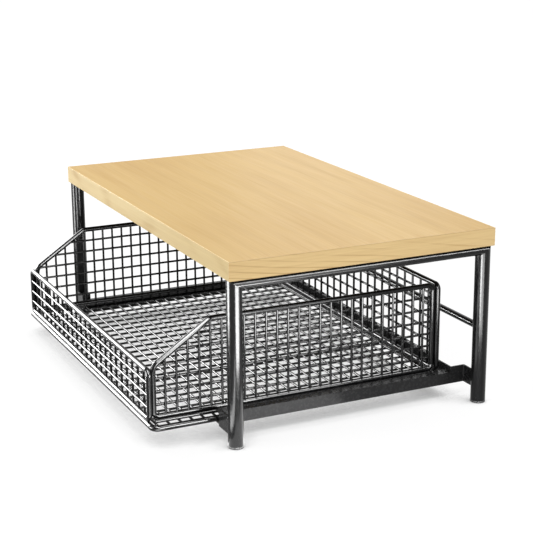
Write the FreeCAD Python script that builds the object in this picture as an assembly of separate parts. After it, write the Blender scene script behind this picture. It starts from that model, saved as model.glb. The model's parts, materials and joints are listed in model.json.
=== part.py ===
import FreeCAD
import Part
import math
import os

os.makedirs("parts", exist_ok=True)

# A low stand with a wooden top on a tube frame, and a wire drawer that slides out
# between its legs. Millimetres; X is the width, -Y is where the drawer comes out, +Z is up.

# ---------------------------------------------------------------- stand sizes
stand_width = 545.0
stand_depth = 328.0
stand_height = 210.0
board_thickness = 21.0
edge_band_thickness = 1.0
board_edge_round = 0.4

leg_diameter = 17.4
tube_wall = 1.2
leg_inset = 0.7              # from the board's edge to the outside of a leg
top_rail_height = 11.5       # the top rails are pressed oval, as wide as a leg
foot_cap_thickness = 2.6
foot_plug_length = 14.0
foot_edge_round = 0.9
plug_clearance = 0.1
brace_diameter = 8.2
brace_height = 90.7

screw_diameter = 4.0
screw_head_diameter = 8.4
screw_head_thickness = 2.6
screw_depth_in_board = 14.0
screw_offset_y = 100.0
screw_hole_clearance = 0.2
head_hole_clearance = 0.6
driver_slot_width = 1.1
driver_slot_depth = 1.2
driver_slot_length = 5.2

# --------------------------------------------------------------- drawer sizes
panel_rod = 6.2              # rods round the four walls
base_rod = 7.0               # rod round the floor of the drawer
wire = 2.8
wire_overlap = 0.3           # crossing wires are pressed this far together at the weld
edge_rod = 4.5               # rod along each side of the floor, which a side wall stands on
edge_rod_sink = 1.6          # the wires across run this far into it
side_wall_x = 216.0
front_wall_y = -236.0
back_wall_y = 124.5
wall_bottom_z = 29.5
side_bottom_lift = 1.7       # the side walls' lower rods lie this much above the end walls'
wall_top_z = 133.5
front_top_z = 85.0
slope_top_y = -163.0
end_post_offset_x = 2.4      # the front and back walls reach this far past the side walls
base_rod_x = 230.0
wall_corner_radius = 6.0
slope_foot_radius = 13.0
slope_corner_radius = 9.0
base_corner_radius = 7.0
cells_across = 24
cells_along = 26
front_rows = 4
tall_rows = 7

# ----------------------------------------------------------- slide rail sizes
sheet = 1.4
rail_bottom_z = 15.8
rail_height = 14.0
rail_side_clearance = 0.6    # between the drawer's base rod and the rail's web
flange_width = 12.5
end_tab_height = 20.7
front_tab_y = -162.1
front_ear_length = 11.0
stop_plate_gap = 6.0         # from the closed drawer to the plate behind it
rear_tab_advance = 2.6       # the rear tab lies this far in front of the leg's centre line
bend_radius = 2.2
ridge_height = 1.4
ridge_length = 4.0
ridge_setback = 6.0
lug_length = 6.0
lug_width = 4.0
lug_cell = 17                # the lugs are in this cell of the floor, counting from 0 at the front
lug_top_clearance = 0.3
strip_gap = 0.3              # between the base rod and the strip it slides on
strip_edge_gap = 1.0
strip_end_gap = 3.0

# ------------------------------------------------------------- derived values
leg_radius = leg_diameter / 2
leg_x = stand_width / 2 - leg_inset - leg_radius
leg_y = stand_depth / 2 - leg_inset - leg_radius
board_bottom_z = stand_height - board_thickness
top_rail_mid_z = board_bottom_z - top_rail_height / 2
tube_inner_radius = leg_radius - tube_wall
inner_scale = tube_inner_radius / leg_radius
head_reach = screw_head_diameter / 2 / tube_inner_radius
screw_head_top_z = top_rail_mid_z + top_rail_height / 2 * inner_scale * math.sqrt(1 - head_reach ** 2)

post_offset_y = math.sqrt(panel_rod ** 2 - end_post_offset_x ** 2)
side_front_y = front_wall_y + post_offset_y
side_back_y = back_wall_y - post_offset_y
end_post_x = side_wall_x + end_post_offset_x
slope_per_mm = (wall_top_z - front_top_z) / (slope_top_y - front_wall_y)
side_front_top_z = front_top_z + slope_per_mm * post_offset_y
base_z = wall_bottom_z - (panel_rod + base_rod) / 2
wire_step = wire - wire_overlap
cross_wire_z = base_z + base_rod / 2 - wire / 2
long_wire_z = cross_wire_z - wire_step
side_bottom_z = wall_bottom_z + side_bottom_lift
edge_rod_z = cross_wire_z + wire / 2 - edge_rod_sink + edge_rod / 2
edge_rod_drop = side_bottom_z - edge_rod_z
edge_rod_x = side_wall_x + math.sqrt(((panel_rod + edge_rod) / 2) ** 2 - edge_rod_drop ** 2)
across_pitch = 2 * end_post_x / cells_across
along_pitch = (side_back_y - side_front_y) / cells_along
wall_height = wall_top_z - wall_bottom_z

rail_inner_x = base_rod_x + base_rod / 2 + rail_side_clearance
rail_outer_x = rail_inner_x + sheet
flange_x = rail_outer_x - flange_width
rail_top_z = rail_bottom_z + rail_height
rail_front_y = front_tab_y - sheet / 2
stop_plate_y = back_wall_y + base_rod / 2 + stop_plate_gap
rear_tab_y = leg_y - rear_tab_advance
end_tab_top_z = rail_bottom_z + end_tab_height
ridge_y = rail_front_y + ridge_setback

front_extreme = front_wall_y - base_rod / 2
rear_extreme = stand_depth / 2
centre_shift = FreeCAD.Vector(0, -(front_extreme + rear_extreme) / 2, 0)


def vec(x, y, z):
    return FreeCAD.Vector(x, y, z)


def save(name, shape):
    """Write one piece, moved so that the whole object's footprint is centred."""
    placed = shape.copy()
    placed.translate(centre_shift)
    placed.exportStep("parts/" + name + ".step")


def box(x0, x1, y0, y1, z0, z1):
    return Part.makeBox(x1 - x0, y1 - y0, z1 - z0, vec(x0, y0, z0))


def rod(start, end, diameter):
    direction = end.sub(start)
    return Part.makeCylinder(diameter / 2, direction.Length, start, direction)


def mirrored(shape):
    return shape.mirror(vec(0, 0, 0), vec(1, 0, 0))


def bent_rod(corners, radii, diameter):
    """A closed loop of round rod with a bend of the given radius at each corner."""
    count = len(corners)
    entries = []
    exits = []
    middles = []
    for index in range(count):
        corner = corners[index]
        to_last = corners[index - 1].sub(corner).normalize()
        to_next = corners[(index + 1) % count].sub(corner).normalize()
        half_angle = to_last.getAngle(to_next) / 2
        reach = radii[index] / math.tan(half_angle)
        bisector = to_last.add(to_next).normalize()
        to_arc = radii[index] / math.sin(half_angle) - radii[index]
        entries.append(corner.add(to_last * reach))
        exits.append(corner.add(to_next * reach))
        middles.append(corner.add(bisector * to_arc))
    edges = []
    for index in range(count):
        arc = Part.Arc(entries[index], middles[index], exits[index])
        edges.append(arc.toShape())
        edges.append(Part.makeLine(exits[index], entries[(index + 1) % count]))
    # start half way along a straight, so that the seam is not on a bend
    first_straight = edges.pop()
    start = first_straight.valueAt((first_straight.FirstParameter + first_straight.LastParameter) / 2)
    edges.insert(0, Part.makeLine(start, entries[0]))
    edges.append(Part.makeLine(exits[-1], start))
    path = Part.Wire(edges)
    tangent = entries[0].sub(start)
    section = Part.Wire([Part.makeCircle(diameter / 2, start, tangent)])
    return path.makePipeShell([section], True, False)


def welded(frame, wires):
    return frame.multiFuse(wires)


# ------------------------------------------------------------------ top board
def board_screw_places():
    places = []
    for side in (-1, 1):
        for end in (-1, 1):
            places.append((side * leg_x, end * screw_offset_y))
    return places


half_width = stand_width / 2
half_depth = stand_depth / 2
core_half_x = half_width - edge_band_thickness
core_half_y = half_depth - edge_band_thickness
board = box(-core_half_x, core_half_x, -core_half_y, core_half_y, board_bottom_z, stand_height)
for x, y in board_screw_places():
    board = board.cut(Part.makeCylinder(screw_diameter / 2, screw_depth_in_board, vec(x, y, board_bottom_z)))
save("top_board", board)


def edge_band(x0, x1, y0, y1, outer_axis, outer_value):
    """A strip glued to one edge of the board, its two long outer arrises eased."""
    band = box(x0, x1, y0, y1, board_bottom_z, stand_height)
    eased = []
    for edge in band.Edges:
        ends = [vertex.Point for vertex in edge.Vertexes]
        level = abs(ends[0].z - ends[1].z) < 0.001
        on_outside = all(abs(point[outer_axis] - outer_value) < 0.001 for point in ends)
        if level and on_outside:
            eased.append(edge)
    return band.makeFillet(board_edge_round, eased)


save("front_edge_band", edge_band(-core_half_x, core_half_x, -half_depth, -core_half_y, 1, -half_depth))
save("back_edge_band", edge_band(-core_half_x, core_half_x, core_half_y, half_depth, 1, half_depth))
save("left_edge_band", edge_band(-half_width, -core_half_x, -half_depth, half_depth, 0, -half_width))
save("right_edge_band", edge_band(core_half_x, half_width, -half_depth, half_depth, 0, half_width))


# ------------------------------------------------------------ legs and top rails
def above_mitre(x, end):
    """Everything above the slanting cut where a leg (at this end) meets its top rail."""
    rise = top_rail_height / 2
    past = 2.0
    inner = leg_y - leg_radius * past
    outer = leg_y + leg_radius * past
    corners = [
        vec(x - leg_diameter, end * inner, top_rail_mid_z - rise * past),
        vec(x - leg_diameter, end * outer, top_rail_mid_z + rise * past),
        vec(x - leg_diameter, end * outer, stand_height * 2),
        vec(x - leg_diameter, end * inner, stand_height * 2),
    ]
    face = Part.Face(Part.makePolygon(corners + [corners[0]]))
    return face.extrude(vec(leg_diameter * 2, 0, 0))


def leg(side, end):
    x = side * leg_x
    y = end * leg_y
    height = board_bottom_z - foot_cap_thickness
    outside = Part.makeCylinder(leg_radius, height, vec(x, y, foot_cap_thickness))
    inside = Part.makeCylinder(tube_inner_radius, height, vec(x, y, foot_cap_thickness))
    return outside.cut(inside).cut(above_mitre(x, end))


def oval_bar(x, scale):
    wide = leg_radius * scale
    tall = top_rail_height / 2 * scale
    middle = vec(x, -leg_y - leg_radius, top_rail_mid_z)
    outline = Part.Ellipse(middle.add(vec(wide, 0, 0)), middle.add(vec(0, 0, tall)), middle)
    face = Part.Face(Part.Wire([outline.toShape()]))
    return face.extrude(vec(0, 2 * (leg_y + leg_radius), 0))


def below_mitres(x):
    """Everything under the two slanting cuts at the ends of a top rail."""
    rise = top_rail_height / 2
    corners = [
        vec(x - leg_diameter, -leg_y - leg_radius, top_rail_mid_z + rise),
        vec(x - leg_diameter, -leg_y + leg_radius, top_rail_mid_z - rise),
        vec(x - leg_diameter, -leg_y + leg_radius, 0),
        vec(x - leg_diameter, -leg_y - leg_radius, 0),
    ]
    front = Part.Face(Part.makePolygon(corners + [corners[0]])).extrude(vec(leg_diameter * 2, 0, 0))
    back = front.mirror(vec(0, 0, 0), vec(0, 1, 0))
    return front.fuse(back)


def top_rail(side):
    x = side * leg_x
    tube = oval_bar(x, 1.0).cut(oval_bar(x, inner_scale)).cut(below_mitres(x))
    shank_hole_radius = screw_diameter / 2 + screw_hole_clearance
    head_hole_radius = screw_head_diameter / 2 + head_hole_clearance
    for place_x, place_y in board_screw_places():
        if place_x * side > 0:
            middle = vec(place_x, place_y, top_rail_mid_z)
            tube = tube.cut(Part.makeCylinder(shank_hole_radius, top_rail_height, middle))
            tube = tube.cut(Part.makeCylinder(head_hole_radius, top_rail_height, middle, vec(0, 0, -1)))
    return tube


def foot(side, end):
    x = side * leg_x
    y = end * leg_y
    cap = Part.makeCylinder(leg_radius, foot_cap_thickness, vec(x, y, 0))
    lowest = [edge for edge in cap.Edges if edge.BoundBox.ZMax < 0.001]
    cap = cap.makeFillet(foot_edge_round, lowest)
    plug_radius = tube_inner_radius - plug_clearance
    plug = Part.makeCylinder(plug_radius, foot_plug_length, vec(x, y, foot_cap_thickness / 2))
    return cap.fuse(plug)


corner_names = {(-1, -1): "front_left", (1, -1): "front_right", (-1, 1): "rear_left", (1, 1): "rear_right"}
for (side, end), name in corner_names.items():
    save(name + "_leg", leg(side, end))
    save(name + "_foot", foot(side, end))
save("left_top_rail", top_rail(-1))
save("right_top_rail", top_rail(1))


# ---------------------------------------------------------------- rear brace
brace = rod(vec(-leg_x, leg_y, brace_height), vec(leg_x, leg_y, brace_height), brace_diameter)
for side in (-1, 1):
    brace = brace.cut(Part.makeCylinder(leg_radius, stand_height, vec(side * leg_x, leg_y, 0)))
save("rear_brace", brace)


# -------------------------------------------------------------- board screws
def board_screw(x, y):
    """A screw whose head sits inside the top rail, put in through a hole in the rail's underside."""
    shank_length = board_bottom_z + screw_depth_in_board - screw_head_top_z
    shank = Part.makeCylinder(screw_diameter / 2, shank_length, vec(x, y, screw_head_top_z))
    head_bottom_z = screw_head_top_z - screw_head_thickness
    head = Part.makeCylinder(screw_head_diameter / 2, screw_head_thickness, vec(x, y, head_bottom_z))
    half_length = driver_slot_length / 2
    half_slot = driver_slot_width / 2
    slot_top_z = head_bottom_z + driver_slot_depth
    slot_x = box(x - half_length, x + half_length, y - half_slot, y + half_slot, head_bottom_z, slot_top_z)
    slot_y = box(x - half_slot, x + half_slot, y - half_length, y + half_length, head_bottom_z, slot_top_z)
    return head.fuse(shank).cut(slot_x).cut(slot_y)


save("board_screws", Part.makeCompound([board_screw(x, y) for x, y in board_screw_places()]))


# ---------------------------------------------------------------- slide rails
def upright_edge(shape, x, y):
    """The edges of a shape that run straight up at one place in plan."""
    found = []
    for edge in shape.Edges:
        ends = [vertex.Point for vertex in edge.Vertexes]
        if len(ends) == 2 and all(abs(p.x - x) < 0.001 and abs(p.y - y) < 0.001 for p in ends):
            found.append(edge)
    return found


def slide_rail_right():
    """A channel that opens inwards, with a tab at each end bent outwards to a leg."""
    rear_end_y = rear_tab_y + sheet
    web = box(rail_inner_x, rail_outer_x, rail_front_y, rear_end_y, rail_bottom_z, rail_top_z)
    front_ear = box(rail_inner_x, rail_outer_x, rail_front_y, rail_front_y + front_ear_length,
                    rail_bottom_z, end_tab_top_z)
    rear_ear = box(rail_inner_x, rail_outer_x, stop_plate_y, rear_end_y, rail_bottom_z, end_tab_top_z)
    front_tab = box(rail_inner_x, leg_x, rail_front_y, rail_front_y + sheet, rail_bottom_z, end_tab_top_z)
    rear_tab = box(rail_inner_x, leg_x, rear_tab_y, rear_end_y, rail_bottom_z, end_tab_top_z)
    body = web.multiFuse([front_ear, rear_ear, front_tab, rear_tab]).removeSplitter()
    body = body.makeFillet(bend_radius, upright_edge(body, rail_inner_x, rail_front_y))
    body = body.makeFillet(bend_radius, upright_edge(body, rail_inner_x, rear_end_y))
    body = body.makeFillet(bend_radius - sheet, upright_edge(body, rail_outer_x, rail_front_y + sheet))
    body = body.makeFillet(bend_radius - sheet, upright_edge(body, rail_outer_x, rear_tab_y))
    flange_front_y = rail_front_y + bend_radius
    lower = box(flange_x, rail_inner_x, flange_front_y, stop_plate_y, rail_bottom_z, rail_bottom_z + sheet)
    upper = box(flange_x, rail_inner_x, flange_front_y, stop_plate_y, rail_top_z - sheet, rail_top_z)
    ridge_top_z = rail_top_z - sheet
    ridge = box(base_rod_x - lug_width, rail_inner_x, ridge_y, ridge_y + ridge_length,
                ridge_top_z - ridge_height, ridge_top_z)
    body = body.multiFuse([lower, upper, ridge]).removeSplitter()
    for end in (-1, 1):
        body = body.cut(Part.makeCylinder(leg_radius, stand_height, vec(leg_x, end * leg_y, 0)))
    return body


right_rail = slide_rail_right()
save("right_slide_rail", right_rail)
save("left_slide_rail", mirrored(right_rail))

save("rear_stop_plate", box(-rail_inner_x, rail_inner_x, stop_plate_y, stop_plate_y + sheet,
                            rail_bottom_z, end_tab_top_z))

strip_top_z = base_z - base_rod / 2 - strip_gap
right_strip = box(flange_x + strip_edge_gap, rail_inner_x, rail_front_y + bend_radius + strip_end_gap,
                  stop_plate_y - strip_end_gap, rail_bottom_z + sheet, strip_top_z)
save("right_glide_strip", right_strip)
save("left_glide_strip", mirrored(right_strip))


# ------------------------------------------------------------- drawer walls
across_places = [-end_post_x + across_pitch * step for step in range(1, cells_across)]
along_places = [side_front_y + along_pitch * step for step in range(1, cells_along)]


def wire_levels(height, rows):
    return [wall_bottom_z + height / rows * step for step in range(1, rows)]


def end_wall(y, top_z, rows, outward):
    """The front or back wall: level wires outside, upright wires inside."""
    corners = [
        vec(-end_post_x, y, wall_bottom_z),
        vec(end_post_x, y, wall_bottom_z),
        vec(end_post_x, y, top_z),
        vec(-end_post_x, y, top_z),
    ]
    frame = bent_rod(corners, [wall_corner_radius] * 4, panel_rod)
    level_y = y + outward * wire_step / 2
    upright_y = y - outward * wire_step / 2
    wires = []
    for z in wire_levels(top_z - wall_bottom_z, rows):
        wires.append(rod(vec(-end_post_x, level_y, z), vec(end_post_x, level_y, z), wire))
    for x in across_places:
        wires.append(rod(vec(x, upright_y, wall_bottom_z), vec(x, upright_y, top_z), wire))
    return welded(frame, wires)


def side_top_z(y):
    if y >= slope_top_y:
        return wall_top_z
    return wall_top_z - slope_per_mm * (slope_top_y - y)


def side_start_y(z):
    """Where a level wire of a side wall begins: at the front post, or on the slope."""
    if z <= side_front_top_z:
        return side_front_y
    return slope_top_y - (wall_top_z - z) / slope_per_mm + wire / 2


def right_side_wall():
    """A side wall: upright wires outside, level wires inside, the top sloping at the front."""
    x = side_wall_x
    corners = [
        vec(x, side_front_y, side_bottom_z),
        vec(x, side_back_y, side_bottom_z),
        vec(x, side_back_y, wall_top_z),
        vec(x, slope_top_y, wall_top_z),
        vec(x, side_front_y, side_front_top_z),
    ]
    radii = [wall_corner_radius] * 3 + [slope_corner_radius, slope_foot_radius]
    frame = bent_rod(corners, radii, panel_rod)
    upright_x = x + wire_step / 2
    level_x = x - wire_step / 2
    wires = []
    for y in along_places:
        wires.append(rod(vec(upright_x, y, side_bottom_z), vec(upright_x, y, side_top_z(y)), wire))
    for z in wire_levels(wall_height, tall_rows):
        wires.append(rod(vec(level_x, side_start_y(z), z), vec(level_x, side_back_y, z), wire))
    return welded(frame, wires)


def drawer_floor():
    """The floor: a heavier rod all round, wires across on top and wires along beneath them.

    A thinner rod lies along each side on the wires across; a side wall rests against it.
    """
    corners = [
        vec(-base_rod_x, front_wall_y, base_z),
        vec(base_rod_x, front_wall_y, base_z),
        vec(base_rod_x, back_wall_y, base_z),
        vec(-base_rod_x, back_wall_y, base_z),
    ]
    frame = bent_rod(corners, [base_corner_radius] * 4, base_rod)
    wires = []
    for y in [side_front_y] + along_places + [side_back_y]:
        wires.append(rod(vec(-base_rod_x, y, cross_wire_z), vec(base_rod_x, y, cross_wire_z), wire))
    for x in across_places:
        wires.append(rod(vec(x, front_wall_y, long_wire_z), vec(x, back_wall_y, long_wire_z), wire))
    for x in (-edge_rod_x, edge_rod_x):
        wires.append(rod(vec(x, side_front_y, edge_rod_z), vec(x, side_back_y, edge_rod_z), edge_rod))
    return welded(frame, wires)


save("drawer_front_wall", end_wall(front_wall_y, front_top_z, front_rows, -1))
save("drawer_back_wall", end_wall(back_wall_y, wall_top_z, tall_rows, 1))
right_wall = right_side_wall()
save("drawer_right_wall", right_wall)
save("drawer_left_wall", mirrored(right_wall))
save("drawer_floor", drawer_floor())

# ---------------------------------------------------------------- drawer stops
lug_middle_y = side_front_y + along_pitch * (lug_cell + 0.5)
lug_top_z = rail_top_z - sheet - lug_top_clearance
right_lug = box(base_rod_x - lug_width / 2, base_rod_x + lug_width / 2,
                lug_middle_y - lug_length / 2, lug_middle_y + lug_length / 2, base_z, lug_top_z)
rod_beneath = rod(vec(base_rod_x, front_wall_y, base_z), vec(base_rod_x, back_wall_y, base_z), base_rod)
right_lug = right_lug.cut(rod_beneath)
save("drawer_stop_lugs", Part.makeCompound([right_lug, mirrored(right_lug)]))
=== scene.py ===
"""Looks for the microwave stand with drawer: materials, small details, floor, lamps and camera."""

import json
import math

import bmesh
import bpy
from mathutils import Matrix, Vector


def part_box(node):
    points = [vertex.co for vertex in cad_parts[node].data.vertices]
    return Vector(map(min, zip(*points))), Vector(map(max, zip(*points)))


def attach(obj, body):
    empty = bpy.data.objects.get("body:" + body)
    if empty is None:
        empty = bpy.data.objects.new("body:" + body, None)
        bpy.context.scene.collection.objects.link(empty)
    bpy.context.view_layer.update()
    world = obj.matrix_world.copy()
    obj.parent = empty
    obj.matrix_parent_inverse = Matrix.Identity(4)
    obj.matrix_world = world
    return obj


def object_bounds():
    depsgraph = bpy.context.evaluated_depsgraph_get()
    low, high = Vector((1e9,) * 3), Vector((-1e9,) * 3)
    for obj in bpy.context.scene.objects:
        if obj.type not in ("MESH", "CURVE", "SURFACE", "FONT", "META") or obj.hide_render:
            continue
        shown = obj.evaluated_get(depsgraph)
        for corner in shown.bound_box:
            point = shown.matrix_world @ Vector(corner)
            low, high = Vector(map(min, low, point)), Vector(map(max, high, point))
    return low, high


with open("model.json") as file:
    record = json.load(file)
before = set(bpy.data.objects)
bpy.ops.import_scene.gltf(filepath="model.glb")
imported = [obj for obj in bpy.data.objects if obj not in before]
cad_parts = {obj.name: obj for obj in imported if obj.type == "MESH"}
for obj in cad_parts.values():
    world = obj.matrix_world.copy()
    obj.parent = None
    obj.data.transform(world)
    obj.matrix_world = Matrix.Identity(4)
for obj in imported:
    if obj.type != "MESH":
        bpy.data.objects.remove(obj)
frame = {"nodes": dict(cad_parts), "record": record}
nodes = frame["nodes"]
cad_low, cad_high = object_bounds()

# ---------------------------------------------------------------- node helpers


def new_material(name):
    """A material with one Principled shader wired to its output, its node tree and that shader."""
    material = bpy.data.materials.new(name)
    material.use_nodes = True
    tree = material.node_tree
    tree.nodes.clear()
    shader = tree.nodes.new("ShaderNodeBsdfPrincipled")
    output = tree.nodes.new("ShaderNodeOutputMaterial")
    tree.links.new(shader.outputs["BSDF"], output.inputs["Surface"])
    return material, tree, shader


def put(tree, value, socket):
    """Link an output, or set a plain value, on a socket."""
    if isinstance(value, bpy.types.NodeSocket):
        tree.links.new(value, socket)
    else:
        socket.default_value = value


def place(tree, scale):
    """The object's own coordinates in metres, stretched by scale."""
    coordinates = tree.nodes.new("ShaderNodeTexCoord")
    mapping = tree.nodes.new("ShaderNodeMapping")
    mapping.inputs["Scale"].default_value = scale
    tree.links.new(coordinates.outputs["Object"], mapping.inputs["Vector"])
    return mapping.outputs["Vector"]


def noise(tree, vector, scale, detail, roughness):
    """The grey value of a noise texture."""
    texture = tree.nodes.new("ShaderNodeTexNoise")
    put(tree, vector, texture.inputs["Vector"])
    texture.inputs["Scale"].default_value = scale
    texture.inputs["Detail"].default_value = detail
    texture.inputs["Roughness"].default_value = roughness
    return texture.outputs["Fac"]


def remap(tree, value, low, high, new_low, new_high):
    """A value from low..high brought to new_low..new_high and held at those ends."""
    node = tree.nodes.new("ShaderNodeMapRange")
    put(tree, value, node.inputs["Value"])
    node.inputs["From Min"].default_value = low
    node.inputs["From Max"].default_value = high
    node.inputs["To Min"].default_value = new_low
    node.inputs["To Max"].default_value = new_high
    return node.outputs["Result"]


def calc(tree, operation, first, second=0.0):
    """The result of one Math node."""
    node = tree.nodes.new("ShaderNodeMath")
    node.operation = operation
    put(tree, first, node.inputs[0])
    put(tree, second, node.inputs[1])
    return node.outputs["Value"]


def mixed(tree, factor, first, second):
    """A colour between first (at factor 0 or less) and second (at factor 1 or more)."""
    node = tree.nodes.new("ShaderNodeMix")
    node.data_type = "RGBA"
    put(tree, factor, node.inputs["Factor"])
    put(tree, first, node.inputs["A"])
    put(tree, second, node.inputs["B"])
    return node.outputs["Result"]


def bump(tree, height, distance, strength):
    """A normal that a height raises by up to distance, in metres."""
    node = tree.nodes.new("ShaderNodeBump")
    node.inputs["Strength"].default_value = strength
    node.inputs["Distance"].default_value = distance
    put(tree, height, node.inputs["Height"])
    return node.outputs["Normal"]


def shaded(colour, share):
    """A colour made darker (share under 1) or lighter (over 1)."""
    return tuple(share * channel for channel in colour)


def rgba(colour):
    return (colour[0], colour[1], colour[2], 1.0)


# ------------------------------------------------------------------- materials


# radians by which the slow noise bends the rings
RING_BEND = 26.0
GLUE_LINE_BOTTOM = cad_high[2] - 0.0008
GLUE_LINE_TOP = cad_high[2] - 0.0003
WOOD_IOR = 1.3


def wood(name, along, light, dark, figure, rings_per_metre, thinness, slant, top_line=0.0):
    """Maple laminate with its grain along one axis ("X" or "Y"). figure is how strongly the rings show,
    thinness makes them finer lines and slant tilts them along the board. top_line darkens the last half
    millimetre under the top face, where the glue of an edge band shows."""
    material, tree, shader = new_material(name)

    def grain(lengthwise, crosswise, detail, roughness):
        """A noise drawn out along the grain, with its scale lengthwise and crosswise in cells per metre."""
        scale = (lengthwise, crosswise, crosswise) if along == "X" else (crosswise, lengthwise, crosswise)
        return noise(tree, place(tree, scale), 1.0, detail, roughness)

    # broad rings, cut at a shallow angle and bent by a slow noise, which come and go in patches
    slow = grain(2.2, 9.0, 2.0, 0.5)
    position = place(tree, (slant, 1.0, 1.0) if along == "X" else (1.0, slant, 1.0))
    split = tree.nodes.new("ShaderNodeSeparateXYZ")
    tree.links.new(position, split.inputs["Vector"])
    across = split.outputs["Y"] if along == "X" else split.outputs["Z"]
    lengthwise = split.outputs["X" if along == "X" else "Y"]
    turns = 2 * math.pi * rings_per_metre
    phase = calc(tree, "MULTIPLY", calc(tree, "ADD", across, lengthwise), turns)
    phase = calc(tree, "ADD", phase, calc(tree, "MULTIPLY", slow, RING_BEND))
    rings = remap(tree, calc(tree, "SINE", phase), -1.0, 1.0, 0.0, 1.0)
    rings = calc(tree, "POWER", rings, thinness)
    patches = remap(tree, grain(5.0, 30.0, 3.0, 0.6), 0.42, 0.62, 0.0, 1.0)
    rings = calc(tree, "MULTIPLY", rings, patches)
    fibres = grain(9.0, 620.0, 4.0, 0.65)
    streaks = grain(3.0, 70.0, 3.0, 0.55)
    clouds = grain(3.5, 6.0, 2.0, 0.5)

    shade = calc(tree, "MULTIPLY", rings, figure)
    for pattern, low, high, lightest, darkest in (
        (fibres, 0.3, 0.7, -0.10, 0.14),
        (streaks, 0.35, 0.7, -0.05, 0.30),
        (clouds, 0.3, 0.7, -0.10, 0.25),
    ):
        shade = calc(tree, "ADD", shade, remap(tree, pattern, low, high, lightest, darkest))
    colour = mixed(tree, shade, rgba(light), rgba(dark))
    if top_line:
        height = tree.nodes.new("ShaderNodeSeparateXYZ")
        tree.links.new(place(tree, (1.0, 1.0, 1.0)), height.inputs["Vector"])
        near_top = remap(tree, height.outputs["Z"], GLUE_LINE_BOTTOM, GLUE_LINE_TOP, 0.0, top_line)
        colour = mixed(tree, near_top, colour, rgba(shaded(dark, 0.65)))
    put(tree, colour, shader.inputs["Base Color"])
    put(tree, remap(tree, fibres, 0.3, 0.7, 0.34, 0.46), shader.inputs["Roughness"])
    put(tree, bump(tree, fibres, 0.00006, 0.35), shader.inputs["Normal"])
    shader.inputs["IOR"].default_value = WOOD_IOR
    return material


def coated_metal(name, colour, rough, peel, gloss):
    """Satin black powder coat: slightly cloudy, with orange peel in its skin and a few lighter scuffs. peel is
    how fine the orange peel is, in cells per metre, and gloss how much the coat mirrors."""
    material, tree, shader = new_material(name)
    plain = place(tree, (1.0, 1.0, 1.0))
    cloud = noise(tree, plain, 35.0, 3.0, 0.5)
    skin = noise(tree, plain, peel, 2.0, 0.5)
    specks = noise(tree, plain, 2600.0, 1.0, 0.5)
    scuffs = noise(tree, place(tree, (60.0, 60.0, 420.0)), 1.0, 4.0, 0.7)
    scuffs = remap(tree, scuffs, 0.68, 0.80, 0.0, 0.08)
    base = mixed(tree, remap(tree, cloud, 0.35, 0.65, 0.0, 1.0), rgba(shaded(colour, 0.7)), rgba(colour))
    base = mixed(tree, scuffs, base, rgba(shaded(colour, 2.2)))
    put(tree, base, shader.inputs["Base Color"])
    skin_rough = calc(tree, "ADD", remap(tree, skin, 0.3, 0.7, rough - 0.04, rough + 0.05),
                      calc(tree, "MULTIPLY", scuffs, 0.10))
    put(tree, skin_rough, shader.inputs["Roughness"])
    height = calc(tree, "ADD", skin, calc(tree, "MULTIPLY", specks, 0.02))
    put(tree, bump(tree, height, 0.00002, 1.0), shader.inputs["Normal"])
    shader.inputs["Specular IOR Level"].default_value = gloss
    return material


def plastic(name, colour, rough, grain):
    """Moulded plastic with a fine spark-eroded grain, in cells per metre."""
    material, tree, shader = new_material(name)
    plain = place(tree, (1.0, 1.0, 1.0))
    spark = noise(tree, plain, grain, 2.0, 0.6)
    cloud = noise(tree, plain, 90.0, 2.0, 0.5)
    base = mixed(tree, remap(tree, cloud, 0.3, 0.7, 0.0, 1.0), rgba(colour), rgba(shaded(colour, 1.5)))
    put(tree, base, shader.inputs["Base Color"])
    put(tree, remap(tree, spark, 0.3, 0.7, rough - 0.07, rough + 0.07), shader.inputs["Roughness"])
    put(tree, bump(tree, spark, 0.00006, 0.5), shader.inputs["Normal"])
    return material


def plated_steel(name, colour):
    """Zinc plate with fine crystals and a faint stain."""
    material, tree, shader = new_material(name)
    plain = place(tree, (1.0, 1.0, 1.0))
    crystals = noise(tree, plain, 1500.0, 3.0, 0.6)
    stain = noise(tree, plain, 240.0, 2.0, 0.5)
    base = mixed(tree, remap(tree, stain, 0.35, 0.65, 0.0, 1.0), rgba(colour), rgba(shaded(colour, 1.8)))
    put(tree, base, shader.inputs["Base Color"])
    put(tree, remap(tree, crystals, 0.3, 0.7, 0.24, 0.42), shader.inputs["Roughness"])
    put(tree, bump(tree, crystals, 0.00003, 0.4), shader.inputs["Normal"])
    shader.inputs["Metallic"].default_value = 1.0
    return material


board_wood = wood("board_laminate", "X", light=(0.68, 0.455, 0.165), dark=(0.52, 0.30, 0.085),
                  figure=0.14, rings_per_metre=38.0, thinness=2.5, slant=0.06)
side_edge_wood = wood("edge_band_side", "Y", light=(0.96, 0.70, 0.345), dark=(0.53, 0.30, 0.105),
                      figure=0.60, rings_per_metre=130.0, thinness=9.0, slant=0.16, top_line=0.5)
front_edge_wood = wood("edge_band_front", "X", light=(0.90, 0.70, 0.355), dark=(0.64, 0.43, 0.165),
                       figure=0.5, rings_per_metre=200.0, thinness=4.0, slant=0.05)
frame_black = coated_metal("black_frame", (0.008, 0.008, 0.0084), rough=0.18, peel=350.0, gloss=0.20)
sheet_black = coated_metal("black_sheet", (0.018, 0.018, 0.0185), rough=0.26, peel=350.0, gloss=0.16)
wire_black = coated_metal("black_wire", (0.006, 0.006, 0.0063), rough=0.14, peel=500.0, gloss=0.20)
foot_black = plastic("foot_plastic", (0.020, 0.020, 0.020), rough=0.52, grain=1800.0)
glide_black = plastic("glide_plastic", (0.035, 0.035, 0.035), rough=0.36, grain=2600.0)
screw_zinc = plated_steel("screw_steel", (0.20, 0.20, 0.21))

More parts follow.
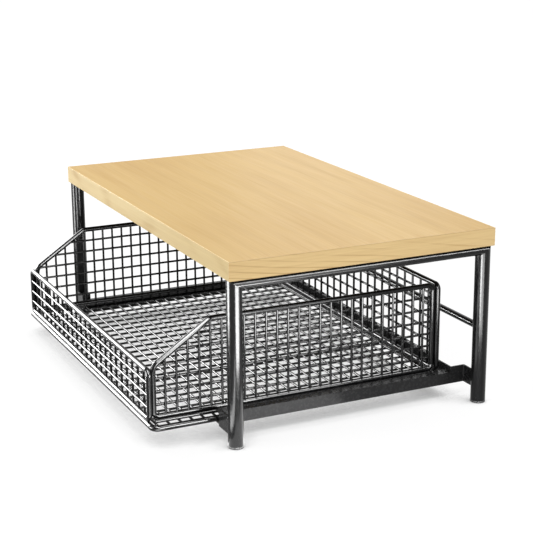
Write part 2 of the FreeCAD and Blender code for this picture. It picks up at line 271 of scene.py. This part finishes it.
MATERIAL_OF_SLOT = {
    "board_laminate": board_wood,
    "edge_band": side_edge_wood,
    "black_frame": frame_black,
    "black_sheet": sheet_black,
    "black_wire": wire_black,
    "foot_plastic": foot_black,
    "glide_plastic": glide_black,
    "screw_steel": screw_zinc,
}


def dress(obj, material):
    """Give an object one material on all its faces."""
    obj.data.materials.clear()
    obj.data.materials.append(material)
    for face in obj.data.polygons:
        face.material_index = 0


for subpart in frame["record"]["subparts"]:
    dress(nodes[subpart["node"]], MATERIAL_OF_SLOT[subpart["material_slot"]])
for name in ("front_edge_band", "back_edge_band"):
    dress(nodes[name], front_edge_wood)

# all but the wood: the pieces that the gloss-only lamps light
dark_pieces = bpy.data.collections.new("dark_pieces")
for subpart in frame["record"]["subparts"]:
    if subpart["material_slot"] not in ("board_laminate", "edge_band"):
        dark_pieces.objects.link(nodes[subpart["node"]])

# ------------------------------------------------------------------- weld beads

BEAD_RADIUS = 0.0009
BEAD_SIDES = 10
BEAD_STEP = 0.35 * BEAD_RADIUS
RIPPLE_DEPTH = 0.10
# radians of ripple for each bead radius along the bead
RIPPLE_TURNS = 5.0
# the section's area at a bead's very end, as a share of its full one
END_SIZE = 0.06
# a direction that no bead runs along
OFF_BEAD = Vector((0.31, 0.52, 0.80))


def weld_bead(name, points, body):
    """A rippled weld bead along a line of points, tapered at its ends, half sunk in what it joins."""
    path = [Vector(point) for point in points]
    spans = [(b - a).length for a, b in zip(path, path[1:])]
    length = sum(spans)
    steps = max(8, int(length / BEAD_STEP))
    mesh = bmesh.new()
    loops = []
    for step in range(steps + 1):
        travelled = length * step / steps
        here = travelled
        for a, b, span in zip(path, path[1:], spans):
            if here <= span + 1e-9:
                break
            here -= span
        centre = a.lerp(b, min(1.0, here / span))
        forward = (b - a).normalized()
        side = forward.cross(OFF_BEAD).normalized()
        over = forward.cross(side)
        ripple = 1.0 + RIPPLE_DEPTH * math.sin(travelled / BEAD_RADIUS * RIPPLE_TURNS)
        from_end = min(travelled, length - travelled) / BEAD_RADIUS
        size = BEAD_RADIUS * ripple * math.sqrt(max(END_SIZE, min(1.0, from_end)))
        loops.append([
            mesh.verts.new(centre + size * (math.cos(turn) * side + math.sin(turn) * over))
            for turn in (2 * math.pi * k / BEAD_SIDES for k in range(BEAD_SIDES))
        ])
    for ring, following in zip(loops, loops[1:]):
        for k in range(BEAD_SIDES):
            after = (k + 1) % BEAD_SIDES
            mesh.faces.new((ring[k], ring[after], following[after], following[k]))
    mesh.faces.new(list(reversed(loops[0])))
    mesh.faces.new(loops[-1])
    bmesh.ops.recalc_face_normals(mesh, faces=mesh.faces)
    data = bpy.data.meshes.new(name)
    mesh.to_mesh(data)
    mesh.free()
    for face in data.polygons:
        face.use_smooth = True
    obj = bpy.data.objects.new(name, data)
    bpy.context.scene.collection.objects.link(obj)
    obj.data.materials.append(frame_black)
    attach(obj, body)
    dark_pieces.objects.link(obj)


def middle_of(name):
    """The middle of a node's box."""
    low_corner, high_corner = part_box(name)
    return (Vector(low_corner) + Vector(high_corner)) / 2


def on_leg(leg, y, inward):
    """How far in x a leg's surface lies at y, on the side that faces inward (-1 or 1 in x)."""
    leg_low, leg_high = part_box(leg)
    leg_radius = (leg_high[0] - leg_low[0]) / 2
    centre = middle_of(leg)
    return centre.x + inward * math.sqrt(leg_radius ** 2 - (y - centre.y) ** 2)


brace_low, brace_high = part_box("rear_brace")
brace_radius = (brace_high[2] - brace_low[2]) / 2
brace_middle = middle_of("rear_brace")
BRACE_STEPS = 32
for leg, inward in (("rear_left_leg", 1), ("rear_right_leg", -1)):
    ring = []
    for step in range(BRACE_STEPS + 1):
        turn = math.pi / 2 + 2 * math.pi * step / BRACE_STEPS
        y = brace_middle.y + brace_radius * math.sin(turn)
        ring.append((on_leg(leg, y, inward), y, brace_middle.z + brace_radius * math.cos(turn)))
    weld_bead("weld_brace_" + leg, ring, "stand")

TAB_BEAD_MARGIN = 0.0015
for rail, inward in (("left_slide_rail", 1), ("right_slide_rail", -1)):
    rail_low, rail_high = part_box(rail)
    prefix = rail.split("_")[0]
    for leg, y in (("front_" + prefix + "_leg", rail_low[1]), ("rear_" + prefix + "_leg", rail_high[1])):
        x = on_leg(leg, y, inward)
        line = [(x, y, rail_low[2] + TAB_BEAD_MARGIN), (x, y, rail_high[2] - TAB_BEAD_MARGIN)]
        weld_bead("weld_tab_" + leg, line, "stand")

# ---------------------------------------------------------------- floor, world


FLOOR_HALF = 12.0
FLOOR_LIT = 0.15
# the floor's own white, out to one distance from the middle and from another one on
GLOW_NEAR = 0.89
GLOW_NEAR_RADIUS = 0.4
GLOW_FAR = 0.98
GLOW_FAR_RADIUS = 2.2
# how far up the floor looks for what shades it, and for the painted shade in its own white: the open shares at
# which that shade is full and gone, and the share of its own white that full shade leaves
SHADE_REACH = 0.045
SHADE_SAMPLES = 8
SHADE_FULL = 0.45
SHADE_NONE = 0.72
SHADE_LEFT = 0.30
WORLD_LIGHT = 0.25


def background_rays(tree):
    """1 for the rays that should meet the white background: from the camera, in gloss and through glass."""
    paths = tree.nodes.new("ShaderNodeLightPath")
    seen = calc(tree, "MAXIMUM", paths.outputs["Is Glossy Ray"], paths.outputs["Is Transmission Ray"])
    return calc(tree, "MAXIMUM", seen, paths.outputs["Is Camera Ray"])


def backdrop_material(name):
    """A white that keeps a soft shadow: part lit by the lamps, part its own colour to the eye and in gloss.
    Its own part is stronger far out, where the lamps don't reach, and carries a painted shade close under the
    object."""
    material = bpy.data.materials.new(name)
    material.use_nodes = True
    tree = material.node_tree
    tree.nodes.clear()
    matt = tree.nodes.new("ShaderNodeBsdfDiffuse")
    matt.inputs["Color"].default_value = (FLOOR_LIT, FLOOR_LIT, FLOOR_LIT, 1.0)
    from_middle = tree.nodes.new("ShaderNodeVectorMath")
    from_middle.operation = "LENGTH"
    tree.links.new(place(tree, (1.0, 1.0, 1.0)), from_middle.inputs[0])
    glow = remap(tree, from_middle.outputs["Value"], GLOW_NEAR_RADIUS, GLOW_FAR_RADIUS, GLOW_NEAR, GLOW_FAR)
    open_sky = tree.nodes.new("ShaderNodeAmbientOcclusion")
    open_sky.samples = SHADE_SAMPLES
    open_sky.inputs["Distance"].default_value = SHADE_REACH
    # painted shade: the floor's own white, to the eye and in gloss, is darkened where the object closes off
    # the open sky
    shade = remap(tree, open_sky.outputs["AO"], SHADE_FULL, SHADE_NONE, SHADE_LEFT, 1.0)
    glow = calc(tree, "MULTIPLY", glow, shade)
    own = tree.nodes.new("ShaderNodeEmission")
    tree.links.new(calc(tree, "MULTIPLY", background_rays(tree), glow), own.inputs["Strength"])
    both = tree.nodes.new("ShaderNodeAddShader")
    output = tree.nodes.new("ShaderNodeOutputMaterial")
    tree.links.new(matt.outputs["BSDF"], both.inputs[0])
    tree.links.new(own.outputs["Emission"], both.inputs[1])
    tree.links.new(both.outputs["Shader"], output.inputs["Surface"])
    return material


corners = [(x * FLOOR_HALF, y * FLOOR_HALF, 0) for x, y in ((-1, -1), (1, -1), (1, 1), (-1, 1))]
floor_mesh = bpy.data.meshes.new("floor")
floor_mesh.from_pydata(corners, [], [(0, 1, 2, 3)])
floor = bpy.data.objects.new("floor", floor_mesh)
bpy.context.scene.collection.objects.link(floor)
floor.data.materials.append(backdrop_material("floor_white"))

world = bpy.data.worlds.new("studio")
bpy.context.scene.world = world
world.use_nodes = True
world_tree = world.node_tree
world_tree.nodes.clear()
background = world_tree.nodes.new("ShaderNodeBackground")
world_strength = remap(world_tree, background_rays(world_tree), 0.0, 1.0, WORLD_LIGHT, 1.0)
world_tree.links.new(world_strength, background.inputs["Strength"])
world_output = world_tree.nodes.new("ShaderNodeOutputWorld")
world_tree.links.new(background.outputs["Background"], world_output.inputs["Surface"])

# ------------------------------------------------------------------------ lamps


def softbox(name, place_at, aim_at, width, height, watts, shows_only_in_gloss=False):
    """A rectangular lamp, in metres and watts. One that shows only in gloss lights the dark pieces alone, so
    that it draws their bright lines without whitening the wood."""
    data = bpy.data.lights.new(name, "AREA")
    data.shape = "RECTANGLE"
    data.size = width
    data.size_y = height
    data.energy = watts
    lamp = bpy.data.objects.new(name, data)
    bpy.context.scene.collection.objects.link(lamp)
    lamp.location = place_at
    lamp.rotation_mode = "QUATERNION"
    lamp.rotation_quaternion = (Vector(aim_at) - Vector(place_at)).to_track_quat("-Z", "Y")
    lamp.visible_camera = False
    lamp.visible_diffuse = not shows_only_in_gloss
    if shows_only_in_gloss:
        lamp.light_linking.receiver_collection = dark_pieces
    return lamp


softbox("left_softbox", (-1.25, -0.50, 0.62), (-0.1, -0.1, 0.1), 0.6, 1.1, 14.0)
softbox("front_softbox", (0.15, -1.40, 0.60), (0.0, -0.1, 0.15), 0.7, 0.7, 10.0)
softbox("right_softbox", (1.40, -0.05, 0.60), (0.1, 0.04, 0.15), 0.7, 0.7, 10.0)
softbox("top_softbox", (-0.10, 0.70, 1.75), (0.0, 0.0, 0.2), 1.2, 0.8, 15.0)
softbox("rear_softbox", (-1.36, 0.91, 0.70), (0.0, 0.10, 0.2), 0.57, 0.8, 1.2)


def watts_for(radiance, width, height):
    """The power that gives a lamp's face this radiance, where 1 looks white."""
    return radiance * math.pi * width * height


def flat_direction(azimuth):
    """A level direction, at an azimuth in degrees from +X."""
    return Vector((math.cos(math.radians(azimuth)), math.sin(math.radians(azimuth)), 0.0))


BASKET_MIDDLE = (0.0, -0.05, 0.08)
BASKET_FRONT = (0.0, -0.20, 0.08)
SLOPE_ROD = (0.216, -0.16, 0.11)
FRONT_POST = (0.217, -0.198)
RAIL_FRONT = (0.30, -0.15)


def card(name, away, distance, width, height, radiance, centre=BASKET_MIDDLE):
    """A gloss-only lamp at a distance from a centre, away in one direction, and turned to that centre."""
    middle = Vector(centre) + distance * Vector(away).normalized()
    softbox(name, middle, centre, width, height, watts_for(radiance, width, height), True)


card("left_card", (-0.90, -0.27, 0.25), 1.2, 0.50, 0.36, 14.0)
card("front_rod_card", (-0.90, -0.45, 0.22), 1.1, 0.40, 0.34, 58.0, BASKET_FRONT)
card("right_high_card", (0.56, 0.41, 0.72), 1.2, 0.50, 0.60, 38.0)
card("right_rear_card", (1.10, 0.38, 0.37), 1.22, 0.35, 0.80, 5.0)
# the three lie side by side where the right wall's sloping rod mirrors them
for number, away in enumerate(((0.87, -0.08, 0.49), (0.60, -0.26, 0.76), (0.25, -0.37, 0.90))):
    card("slope_card_" + str(number), away, 0.30, 0.13, 0.13, 55.0, SLOPE_ROD)


LAMP_LIFT = 0.001


def floor_card(name, start, azimuth, near, far, width, radiance):
    """A gloss-only lamp that lies face up on the floor, from near to far of a start point at an azimuth."""
    away = flat_direction(azimuth)
    down = Vector((0.0, 0.0, -1.0))
    middle = Vector((start[0], start[1], LAMP_LIFT)) + (near + far) / 2 * away
    length = far - near
    lamp = softbox(name, middle, middle - down, width, length, watts_for(radiance, width, length), True)
    lamp.rotation_quaternion = Matrix((away.cross(down), away, down)).transposed().to_quaternion()


floor_card("front_post_card", FRONT_POST, -6.0, 0.03, 0.30, 0.05, 20.0)
floor_card("rail_card", RAIL_FRONT, 90.0, 0.0, 0.20, 0.10, 4.0)


def strip(name, leg, azimuth, distance, width, height, radiance):
    """A gloss-only lamp that stands on the floor and faces a leg, at a distance and an azimuth from it."""
    foot = middle_of(leg)
    away = flat_direction(azimuth)
    middle = Vector((foot.x, foot.y, height / 2 + 2 * LAMP_LIFT)) + distance * away
    softbox(name, middle, middle - away, width, height, watts_for(radiance, width, height), True)


strip("front_right_leg_strip", "front_right_leg", 14.0, 0.25, 0.20, 0.12, 66.0)
strip("rear_right_leg_strip", "rear_right_leg", -18.0, 0.25, 0.16, 0.12, 22.0)
strip("front_strip", "front_right_leg", -111.0, 0.40, 0.22, 0.13, 46.0)
strip("front_left_leg_strip", "front_left_leg", -99.0, 0.40, 0.12, 0.13, 34.0)

# ----------------------------------------------------------------------- camera

CAMERA_AZIMUTH = math.radians(64.82)
CAMERA_ELEVATION = math.radians(15.81)
CAMERA_ROLL = math.radians(-0.40)
CAMERA_DISTANCE = 1.81711
CAMERA_RIGHT = 0.00549
CAMERA_UP = 0.11181
LENS = 95.39

board_middle = middle_of("top_board")
under_board = Vector((board_middle.x, board_middle.y, 0.0))
right = Vector((math.cos(CAMERA_AZIMUTH), math.sin(CAMERA_AZIMUTH), 0.0))
back = Vector((
    math.sin(CAMERA_AZIMUTH) * math.cos(CAMERA_ELEVATION),
    -math.cos(CAMERA_AZIMUTH) * math.cos(CAMERA_ELEVATION),
    math.sin(CAMERA_ELEVATION),
))
up = back.cross(right)
rolled_right = math.cos(CAMERA_ROLL) * right + math.sin(CAMERA_ROLL) * up
rolled_up = -math.sin(CAMERA_ROLL) * right + math.cos(CAMERA_ROLL) * up
spot = under_board + back * CAMERA_DISTANCE + rolled_right * CAMERA_RIGHT + rolled_up * CAMERA_UP

camera_data = bpy.data.cameras.new("camera")
camera_data.sensor_width = 36.0
camera_data.lens = LENS
camera_data.clip_start = 0.05
camera_data.clip_end = 60.0
camera = bpy.data.objects.new("camera", camera_data)
bpy.context.scene.collection.objects.link(camera)
turn = Matrix((rolled_right, rolled_up, back)).transposed().to_4x4()
camera.matrix_world = Matrix.Translation(spot) @ turn
bpy.context.scene.camera = camera

bpy.context.scene.view_settings.view_transform = "Standard"
